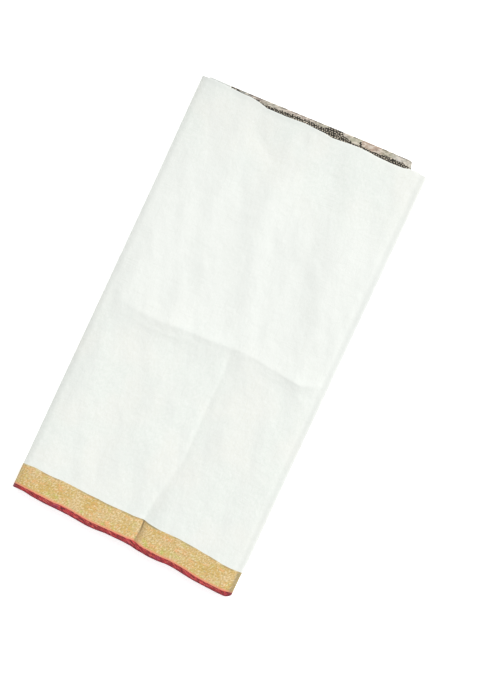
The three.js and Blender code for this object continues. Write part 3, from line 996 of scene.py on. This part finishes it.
def new_material(name):
    material = bpy.data.materials.new(name)
    material.use_nodes = True
    tree = material.node_tree
    tree.nodes.clear()
    shader = put(tree, "ShaderNodeBsdfPrincipled")
    tree.links.new(shader.outputs[0], put(tree, "ShaderNodeOutputMaterial").inputs[0])
    cloth = measured(tree, put(tree, "ShaderNodeUVMap", uv_map="cloth").outputs[0])
    weave = tree.nodes.new("ShaderNodeGroup")
    weave.node_tree = weave_group()
    tree.links.new(cloth.places, weave.inputs["Cloth"])
    return material, tree, shader, cloth, weave


def finish_silk(tree, shader, weave, colour, finish):
    """Joins a silk's colour and woven relief to its shader, and sets how it takes the light."""
    tree.links.new(colour, shader.inputs["Base Color"])
    threads = calc(tree, "MULTIPLY", weave.outputs["Threads"], finish.threads / finish.crumples)
    slubs = calc(tree, "MULTIPLY", weave.outputs["Slubs"], finish.slubs / finish.crumples)
    height = calc(tree, "ADD", calc(tree, "ADD", threads, slubs), weave.outputs["Crumple"])
    bump = put(tree, "ShaderNodeBump", {"Height": height, "Distance": finish.crumples, "Strength": 1.0})
    tree.links.new(bump.outputs[0], shader.inputs["Normal"])
    shader.inputs["Roughness"].default_value = finish.roughness
    shader.inputs["Sheen Weight"].default_value = finish.sheen
    shader.inputs["Specular IOR Level"].default_value = finish.specular


def past_shaded_crease_line(tree):
    return put(tree, "ShaderNodeAttribute", attribute_name="past_line").outputs["Fac"]


def ivory_colour(tree, cloth, weave, ivory):
    """Ivory that wavers between a cool and a warm white, whiter in its far half with painted light,
    and greyer in long streaks where the plies below show through and in its slubs; painted shade
    greys it towards its doubled edge, at its small right fold and past the shaded crease line."""
    colour = flecked(tree, cloth, (*ivory, 1), WARM_CAST)
    # Painted light: the far half of the ivory is whiter.
    far = both(tree, faded(tree, cloth.across, FAR_HALF), faded(tree, cloth.across, FAR_HALF_END))
    colour = blend(tree, far, colour, FAR_HALF_PAINTED_LIGHT)
    for fleck in IVORY_FLECKS:
        colour = flecked(tree, cloth, colour, fleck)
    # Painted shade towards the doubled edge, on the left part, where the cloth rolls over.
    edge = [faded(tree, cloth.across, fade) for fade in (BY_DOUBLED_EDGE, AT_DOUBLED_EDGE)]
    edge = both(tree, calc(tree, "ADD", *edge), faded(tree, cloth.along, LEFT_PART))
    colour = blend(tree, edge, colour, DOUBLED_EDGE_PAINTED_SHADE)
    # Painted shade by the small right fold.
    colour = blend(tree, faded(tree, cloth.along, RIGHT_FOLD_SHADE), colour, RIGHT_FOLD_PAINTED_SHADE)
    # Painted shade past the crease line, strongest near the hem.
    past = past_shaded_crease_line(tree)
    crease_shade = both(tree, faded(tree, past, CREASE_SHADE_START), faded(tree, past, CREASE_SHADE_END))
    crease_shade = both(tree, crease_shade, faded(tree, cloth.across, BY_HEM))
    colour = blend(tree, crease_shade, colour, CREASE_PAINTED_SHADE)
    return blend(tree, both(tree, weave.outputs["Slubs"], SLUB_SHARE), colour, SLUB_GREY)


def gold_colour(tree, cloth, gold):
    """Gold tissue: gold and silk threads that fleck it orange, green near the red edge, and
    pale and dull in a fine grain."""
    colour = (*gold, 1)
    for fleck in GOLD_FLECKS:
        colour = flecked(tree, cloth, colour, fleck)
    by_red = lerp_value(tree, faded(tree, cloth.across, GREEN_BY_RED), GREEN_ELSEWHERE, 1.0)
    colour = flecked(tree, cloth, colour, GREEN_FLECK, by_red)
    for fleck in GOLD_GRAIN:
        colour = flecked(tree, cloth, colour, fleck)
    return colour


def red_colour(tree, cloth, red):
    """Red edge, its thick threads lying aslant like those of a rope, with painted shade towards the
    selvedge and where it turns over at the packet's folds.
    """
    colour = (*red, 1)
    for fleck in RED_FLECKS:
        colour = flecked(tree, cloth, colour, fleck)
    # Painted shade towards the selvedge, where the edge turns under.
    colour = blend(tree, faded(tree, cloth.across, RED_UNDERSIDE), colour, RED_HEM_PAINTED_SHADE)
    # Painted shade where the edge turns over at the packet's folds.
    return blend(tree, both(tree, painted_shade_at_folds(tree, cloth.along), TURNED_SHADE_SHARE), colour, RED_TURNED_PAINTED_SHADE)


def painted_shade_at_folds(tree, along):
    """Mask of the painted shade on the stretches that turn over at the packet's right and left
    folds, by the cloth's measure along its path."""
    fold = TONGUE + math.pi * UPPER_NOSE
    right = (fold + TURNED_RIGHT.place) * MM
    left = (fold + 2 * HALF_WIDTH - UPPER_NOSE - BIG_NOSE + TURNED_LEFT.place) * MM
    by_right = Fade(TURNED_RIGHT.fade * MM, 0.0, TURNED_RIGHT.share)
    by_left = Fade(0.0, TURNED_LEFT.fade * MM, TURNED_LEFT.share)
    return calc(tree, "ADD", faded(tree, along, by_right, right), faded(tree, along, by_left, left))


def over_weave(tree, cloth, ivory, gold, red):
    """The three colours laid out by their distance from the selvedge, with the fine lines
    between them, the upper one darkest past the pressed line."""
    across = cloth.across
    edge, band = RED_WEAVE * MM, GOLD_WEAVE * MM
    colour = blend(tree, faded(tree, across, RED_TO_RIM, edge), red, ORANGE_RIM)
    colour = blend(tree, faded(tree, across, RIM_TO_GOLD, edge), colour, gold)
    uneven = faded(tree, speckle(tree, cloth.places, LINE_NOISE), UNEVEN_LINE)
    pressed = both(tree, faded(tree, cloth.along, PRESSED_START), faded(tree, cloth.along, PRESSED_END))
    dark = calc(tree, "MAXIMUM", uneven, pressed)
    rise = both(tree, faded(tree, across, DARK_RISE, band), dark)
    colour = blend(tree, rise, colour, BORDER_LINE)
    return blend(tree, faded(tree, across, GOLD_TO_IVORY, band), colour, ivory)


def silk_material(name, colours, finish, shade=0.0):
    """The silk of a whole ply, ivory with the border and the red edge woven in; shade is how much
    painted shade greys it, for a fold that lies under another ply."""
    material, tree, shader, cloth, weave = new_material(name)
    ivory = ivory_colour(tree, cloth, weave, colours.ivory)
    gold = gold_colour(tree, cloth, colours.gold)
    red = red_colour(tree, cloth, colours.red)
    # Painted shade over the whole silk, as strong as shade says.
    colour = blend(tree, shade, over_weave(tree, cloth, ivory, gold, red), INNER_FOLD_PAINTED_SHADE)
    finish_silk(tree, shader, weave, colour, finish)
    return material


def gold_material(colours):
    """Gold tissue, with painted shade along its pressed line and where it turns over."""
    material, tree, shader, cloth, weave = new_material("Gold tissue")
    gold = gold_colour(tree, cloth, colours.gold)
    colour = over_weave(tree, cloth, gold, gold, gold)
    # Painted shade along the crease line: a soft spread past it and a darker line on it.
    past = past_shaded_crease_line(tree)
    spread = both(tree, faded(tree, past, CREASE_SPREAD_SHADE_START), faded(tree, past, CREASE_SPREAD_SHADE_END))
    colour = blend(tree, spread, colour, GOLD_CREASE_PAINTED_SHADE)
    line = both(tree, faded(tree, past, CREASE_LINE_SHADE_START), faded(tree, past, CREASE_LINE_SHADE_END))
    by_ivory = lerp_value(tree, faded(tree, cloth.across, SHADE_LINE_BY_IVORY), SHADE_LINE_BY_RED, SHADE_LINE_AT_IVORY)
    colour = blend(tree, both(tree, line, by_ivory), colour, GOLD_CREASE_LINE_SHADE)
    # Painted shade where the tissue turns over at the packet's folds.
    turned_shade = both(tree, painted_shade_at_folds(tree, cloth.along), TURNED_SHADE_SHARE)
    colour = blend(tree, turned_shade, colour, GOLD_TURNED_PAINTED_SHADE)
    finish_silk(tree, shader, weave, colour, GOLD_FINISH)
    shader.inputs["Metallic"].default_value = GOLD_METAL
    return material


def red_material(colours):
    material, tree, shader, cloth, weave = new_material("Red selvedge")
    finish_silk(tree, shader, weave, red_colour(tree, cloth, colours.red), RED_FINISH)
    return material


def check_threads(tree, value, pitch, waver):
    """Waves that cross the check once to each pitch."""
    return calc(tree, "SINE", calc(tree, "ADD", calc(tree, "MULTIPLY", value, 2 * math.pi / pitch), waver))


def check_colour(tree, cloth, black):
    """Coarse black check, unevenly woven, over its pale ground."""
    waver = speckle(tree, cloth.places, CHECK_NOISE)
    waver = calc(tree, "MULTIPLY", waver, BLACK_CHECK.waver)
    lean = calc(tree, "ADD", cloth.along, calc(tree, "MULTIPLY", cloth.across, BLACK_CHECK.lean))
    warp = check_threads(tree, lean, BLACK_CHECK.pitch_along, waver)
    weft = check_threads(tree, cloth.across, BLACK_CHECK.pitch_across, waver)
    gaps = ramp(tree, calc(tree, "ADD", warp, weft), BLACK_CHECK.gap_start, BLACK_CHECK.gap_full)
    return blend(tree, gaps, (*black, 1), CHECK_GROUND)


def pallu_material(name, colours, grounds):
    """Natural tussar, its ground changing along the fold as grounds says, with the black check
    where the attribute "check" is above 0."""
    material, tree, shader, cloth, weave = new_material(name)
    shift = calc(tree, "MULTIPLY", speckle(tree, cloth.places, GROUND_NOISE), GROUND_SHIFT)
    place = calc(tree, "ADD", cloth.along, shift)
    colour = (*grounds[0].colour, 1)
    for ground in grounds:
        begins = faded(tree, place, GROUND_FADE, ground.x * MM)
        colour = blend(tree, begins, colour, (*ground.colour, 1))
    for fleck in END_PIECE_FLECKS:
        colour = flecked(tree, cloth, colour, fleck)
    dashes = faded(tree, speckle(tree, cloth.places, DASH_NOISE), NOSE_DASHES)
    rim = both(tree, faded(tree, cloth.across, NOSE_RIM, DOUBLED_WIDTH * MM), dashes)
    colour = blend(tree, rim, colour, NOSE_DARK)
    inside = put(tree, "ShaderNodeAttribute", attribute_name="check").outputs["Fac"]
    uneven = calc(tree, "SUBTRACT", speckle(tree, cloth.places, CHECK_EDGE_NOISE), 0.5)
    inside = calc(tree, "ADD", inside, calc(tree, "MULTIPLY", uneven, CHECK_UNEVEN))
    colour = blend(tree, faded(tree, inside, CHECK_EDGE), colour, check_colour(tree, cloth, colours.check))
    finish_silk(tree, shader, weave, colour, END_PIECE_FINISH)
    return material


def declare(made, node):
    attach(made, "root")
    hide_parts(node)
    return made


def doubled(outer_lines, spread, folded=None):
    """Rows of a double ply: its outer leaf, the fold at its end where it has one, and its
    inner leaf. Without a fold the two leaves are grids of their own."""
    outer = [Row(line, -spread, weave) for line, weave in outer_lines]
    inner = [Row(line, spread, weave) for line, weave in reversed(outer_lines)]
    if folded is None:
        return [outer, inner]
    sparse = inner[:-1:INNER_ROW_STEP] + inner[-1:]
    return [outer + folded_end(folded, spread, DOUBLED_WIDTH) + sparse]


def add_wrap(node, material, low, high, weaves, shares, settings, nose=False):
    """One woven stretch of the outermost double ply, between two of its lines."""
    spread = settings.spread / MM
    back = spread if nose else 0.0
    lines = []
    for share in shares:
        weave = lerp(weaves[0], weaves[1], share)
        lines.append((between(low, high, share, -back * share), weave))
    groups = doubled(lines, spread, between(high, high, 0.0) if nose else None)
    grids = [cloth_grid(rows, wrapped_path, INNER_LEAF_DROP, settings.crumple / MM) for rows in groups]
    made = object_from_grids(node + "_cloth", grids)
    finish_cloth(made, material, settings.leaf)
    width = 2 * (high(0.0) - low(0.0)) * MM
    return declare(made, node)


class SARI_OT_field_wrap(bpy.types.Operator):
    """Builds the plain ivory field of the outermost ply"""

    bl_idname = "sari.field_wrap"
    bl_label = "Field wrap"

    def execute(self, context):
        settings = context.scene.sari_cloth
        silk = silk_material("Ivory silk", context.scene.sari_colours, IVORY_FINISH)
        made = add_wrap(
            "field_wrap", silk, band_line, top_line, (GOLD_WEAVE, DOUBLED_WIDTH),
            paced(band_line(0.0), top_line(0.0), FINE_LINES), settings, nose=True,
        )
        mark_shaded_crease_line(made)
        return {"FINISHED"}


class SARI_OT_border_wrap(bpy.types.Operator):
    """Builds the gold tissue border of the outermost ply"""

    bl_idname = "sari.border_wrap"
    bl_label = "Gold border"

    def execute(self, context):
        settings = context.scene.sari_cloth
        made = add_wrap(
            "border_wrap", gold_material(context.scene.sari_colours),
            red_line, band_line, (RED_WEAVE, GOLD_WEAVE), even(BORDER_ROWS), settings,
        )
        mark_shaded_crease_line(made)
        return {"FINISHED"}


class SARI_OT_selvedge_wrap(bpy.types.Operator):
    """Builds the red edge of the outermost ply"""

    bl_idname = "sari.selvedge_wrap"
    bl_label = "Red selvedge"

    def execute(self, context):
        settings = context.scene.sari_cloth
        add_wrap(
            "selvedge_wrap", red_material(context.scene.sari_colours),
            hem_line, red_line, (0.0, RED_WEAVE), even(SELVEDGE_ROWS), settings,
        )
        return {"FINISHED"}


def stand_back(stop, x):
    """How far a hidden ply stands back from the doubled edge at a place."""
    if stop is None:
        return HIDDEN_INSET
    back = lerp(ply_ends(stop.ply).top, ply_ends(stop.onward).top, stop.share)
    for room in FOLD_ROOMS:
        if stop.ply in room.plies and stop.onward in room.plies:
            inside = smooth(x, room.left - 3, room.left) * (1 - smooth(x, room.right, room.right + 3))
            back = lerp(back, room.back, inside)
    return back


def hidden_line(share):
    def line(x, stop):
        if stop is None:
            inset = HIDDEN_INSET
        else:
            inset = lerp(ply_ends(stop.ply).hem, ply_ends(stop.onward).hem, stop.share)
        low = hem_line(x) + inset
        high = top_line(x) - stand_back(stop, x)
        return lerp(low, high, share)

    return line


class SARI_OT_hidden_plies(bpy.types.Operator):
    """Builds the ribbon of cloth that the wrapped ply hides, folded as the sari is folded"""

    bl_idname = "sari.hidden_plies"
    bl_label = "Hidden plies"

    def execute(self, context):
        settings = context.scene.sari_cloth
        spread = settings.spread / MM
        shares = list(HIDDEN_HEM_SHARES)
        shares += [lerp(HIDDEN_HEM_SHARES[-1], 1.0, share) for share in even(HIDDEN_ROWS)[1:]]
        outer = [Row(hidden_line(share), -spread, DOUBLED_WIDTH * share) for share in shares]
        inner = [Row(hidden_line(share), spread, DOUBLED_WIDTH * share) for share in reversed(shares)]
        rows = outer + folded_end(hidden_line(1.0), spread, DOUBLED_WIDTH) + inner
        grid = cloth_grid(rows, hidden_path, 0.0, 0.0)
        made = object_from_grids("hidden_plies", [grid])
        silk = silk_material("Ivory plies", context.scene.sari_colours, PLIES_FINISH)
        finish_cloth(made, silk, settings.leaf)
        declare(made, "hidden_layers")
        return {"FINISHED"}


def fold_grid(fold, settings):
    """A double ply that stands out at the doubled edge: upper leaf, nose and lower leaf."""
    middle = fold.thick / 2 - settings.leaf / MM / 2
    turns = [math.pi * share for share in even(FOLD_NOSE_STEPS)[1:-1]]
    rows = [(share, 0.0, middle) for share in FOLD_DEPTHS]
    rows += [(1.0, middle * math.sin(turn), middle * math.cos(turn)) for turn in turns]
    rows += [(share, 0.0, -middle) for share in reversed(FOLD_DEPTHS)]
    wrinkle = EDGE_FOLD_WRINKLE._replace(seed=fold.middle, rise=settings.crumple / MM)
    grid = []
    for share, out, height in rows:
        cells = []
        for across in even(fold.columns):
            flat_x = lerp(fold.left, fold.right, across)
            reach = look_up(fold.reach, "y", flat_x) - middle
            y = lerp(FOLD_ROOT, reach, share) + out
            x = flat_x + fold.splay * across * (1 - share)
            measure = (flat_x * MM, (DOUBLED_WIDTH - reach - middle + y) * MM)
            cells.append((settled(x, y, fold.middle + height + wrinkled(wrinkle, x, y)), measure))
        grid.append(cells)
    return grid


def mark_check(made, fold):
    """Stores how far each point lies inside the black check, in metres."""
    marks = made.data.attributes.new("check", "FLOAT", "POINT")
    for vertex in made.data.vertices:
        x, y = vertex.co.x / MM, vertex.co.y / MM
        from_nose = look_up(fold.reach, "y", x) - y
        marks.data[vertex.index].value = (from_nose - look_up(CHECK_START, "start", x)) * MM


def mark_shaded_crease_line(made):
    """Stores how far each point lies to the right of the shaded crease line, in metres, for the painted
    shade along it.
    """
    marks = made.data.attributes.new("past_line", "FLOAT", "POINT")
    for vertex in made.data.vertices:
        x, y = vertex.co.x / MM, vertex.co.y / MM
        if y < SHADED_CREASE_LINE[0].y:
            near = nearest_stretch(SHADED_CREASE_LINE, x, y)
            marks.data[vertex.index].value = near.distance * (MM if near.on_left else -MM)
        else:
            marks.data[vertex.index].value = -1.0


def add_edge_fold(fold, material, settings):
    made = object_from_grids(fold.node + "_cloth", [fold_grid(fold, settings)])
    finish_cloth(made, material, settings.leaf)
    middle_reach = look_up(fold.reach, "y", (fold.left + fold.right) / 2)
    return declare(made, fold.node)


class SARI_OT_ivory_folds(bpy.types.Operator):
    """Builds the two ivory folds that show behind the top edge at its corners"""

    bl_idname = "sari.ivory_folds"
    bl_label = "Ivory folds"

    def execute(self, context):
        colours = context.scene.sari_colours
        # The folds lie below the top panel; their silk is a copy with painted shade.
        material = silk_material("Ivory fold silk", colours, INNER_FOLD_FINISH, INNER_FOLD_SHADE_SHARE)
        for fold in (SECOND_FOLD, CORNER_FOLD):
            add_edge_fold(fold, material, context.scene.sari_cloth)
        return {"FINISHED"}


class SARI_OT_pallu_folds(bpy.types.Operator):
    """Builds the two stretches of the end piece that stand out at the doubled edge"""

    bl_idname = "sari.pallu_folds"
    bl_label = "End piece"

    def execute(self, context):
        colours = context.scene.sari_colours
        beige = pallu_material("Checked end piece", colours, CHECKED_GROUNDS)
        pink = pallu_material("Plain end piece", colours, PLAIN_GROUNDS)
        for fold, material in ((CHECK_FOLD, beige), (PLAIN_FOLD, pink)):
            made = add_edge_fold(fold, material, context.scene.sari_cloth)
            mark_check(made, fold)
        return {"FINISHED"}


def floor_material():
    material = bpy.data.materials.new("Pale floor")
    material.use_nodes = True
    shader = material.node_tree.nodes["Principled BSDF"]
    shader.inputs["Base Color"].default_value = FLOOR_COLOUR
    shader.inputs["Roughness"].default_value = FLOOR_ROUGHNESS
    shader.inputs["Emission Color"].default_value = (1, 1, 1, 1)
    shader.inputs["Emission Strength"].default_value = FLOOR_GLOW
    return material


class SARI_OT_stage(bpy.types.Operator):
    """Sets the floor, the soft light and the camera"""

    bl_idname = "sari.stage"
    bl_label = "Stage"

    def execute(self, context):
        stage = context.scene.sari_stage
        bpy.ops.object.select_all(action="DESELECT")
        bpy.ops.mesh.primitive_plane_add(size=FLOOR_SIZE, location=(0, 0, -FLOOR_DROP))
        floor = context.active_object
        floor.name = "floor"
        floor.data.materials.append(floor_material())

        world = bpy.data.worlds.new("Soft studio")
        world.use_nodes = True
        background = world.node_tree.nodes["Background"]
        background.inputs["Color"].default_value = (1, 1, 1, 1)
        background.inputs["Strength"].default_value = stage.surround
        context.scene.world = world

        light = bpy.data.lights.new("Soft light", "SUN")
        light.energy = stage.light
        light.angle = stage.light_spread
        lamp = bpy.data.objects.new("Soft light", light)
        bearing, height = stage.light_bearing, stage.light_height
        level = math.cos(height)
        toward = Vector((math.cos(bearing) * level, math.sin(bearing) * level, math.sin(height)))
        lamp.location = toward * LAMP_DISTANCE
        lamp.rotation_mode = "QUATERNION"
        lamp.rotation_quaternion = (-toward).to_track_quat("-Z", "Y")
        context.scene.collection.objects.link(lamp)

        camera = bpy.data.cameras.new("Camera over the packet")
        camera.lens = stage.lens
        camera.sensor_width = SENSOR_WIDTH
        camera.clip_end = CAMERA_REACH
        holder = bpy.data.objects.new("Camera over the packet", camera)
        holder.location = (*CAMERA_PLACE, stage.camera_height + PACKET_HEIGHT * MM)
        holder.rotation_euler = (0, 0, stage.turn)
        context.scene.collection.objects.link(holder)
        context.scene.camera = holder
        context.scene.view_settings.view_transform = "Standard"
        return {"FINISHED"}


class VIEW3D_PT_sari(bpy.types.Panel):
    bl_label = "Folded sari"
    bl_idname = "VIEW3D_PT_sari"
    bl_space_type = "VIEW_3D"
    bl_region_type = "UI"
    bl_category = "Sari"

    def draw(self, context):
        column = self.layout.column()
        for settings in (context.scene.sari_cloth, context.scene.sari_colours, context.scene.sari_stage):
            for name in type(settings).__annotations__:
                column.prop(settings, name)
        for operator in OPERATORS:
            column.operator(operator.bl_idname)


OPERATORS = (
    SARI_OT_field_wrap,
    SARI_OT_border_wrap,
    SARI_OT_selvedge_wrap,
    SARI_OT_hidden_plies,
    SARI_OT_ivory_folds,
    SARI_OT_pallu_folds,
    SARI_OT_stage,
)
CLASSES = (SariClothSettings, SariColourSettings, SariStageSettings, *OPERATORS, VIEW3D_PT_sari)


def register():
    for made in CLASSES:
        bpy.utils.register_class(made)
    bpy.types.Scene.sari_cloth = bpy.props.PointerProperty(type=SariClothSettings)
    bpy.types.Scene.sari_colours = bpy.props.PointerProperty(type=SariColourSettings)
    bpy.types.Scene.sari_stage = bpy.props.PointerProperty(type=SariStageSettings)


def unregister():
    del bpy.types.Scene.sari_stage
    del bpy.types.Scene.sari_colours
    del bpy.types.Scene.sari_cloth
    for made in reversed(CLASSES):
        bpy.utils.unregister_class(made)


def main():
    register()
    bpy.ops.sari.field_wrap()
    bpy.ops.sari.border_wrap()
    bpy.ops.sari.selvedge_wrap()
    bpy.ops.sari.hidden_plies()
    bpy.ops.sari.ivory_folds()
    bpy.ops.sari.pallu_folds()
    bpy.ops.sari.stage()


if __name__ == "__main__":
    main()
